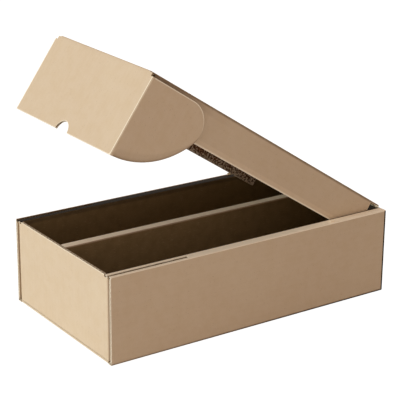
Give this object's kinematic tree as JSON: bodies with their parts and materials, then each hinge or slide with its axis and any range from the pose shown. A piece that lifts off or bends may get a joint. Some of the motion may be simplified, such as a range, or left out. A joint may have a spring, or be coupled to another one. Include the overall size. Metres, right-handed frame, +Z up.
{
  "type": "bottle shipping box",
  "caption": "Low corrugated-board shipping box for bottles lying side by side, with a divider, a hinged lid and a front flap with rounded ears.",
  "frame": {"origin": "centre of the tray's underside, which is the bottom centre of the whole box at rest", "axes": "+X along the box towards the lid's hinge, +Y across it, +Z up"},
  "size_m": [0.36, 0.2016, 0.2982],
  "materials": {
    "kraft_board": "matt kraft liner, dark lined inside",
    "insert_board": "matt kraft liner, dark lined"
  },
  "bodies": {
    "base": {"tray": "kraft_board", "divider_insert": "insert_board"},
    "lid": {"lid": "kraft_board"},
    "flap": {"front_flap": "kraft_board"}
  },
  "joints": [
    {"name": "lid_hinge", "type": "hinge", "parent": "base", "child": "lid", "pos_m": [0.18, 0, 0.0999], "axis": [0, 1, 0], "range_deg": [-33.1, 146.9]},
    {"name": "front_flap_fold", "type": "hinge", "parent": "lid", "child": "flap", "pos_m": [-0.12418, 0, 0.29819], "axis": [0, 1, 0], "range_deg": [-2.1, 85.9]}
  ]
}
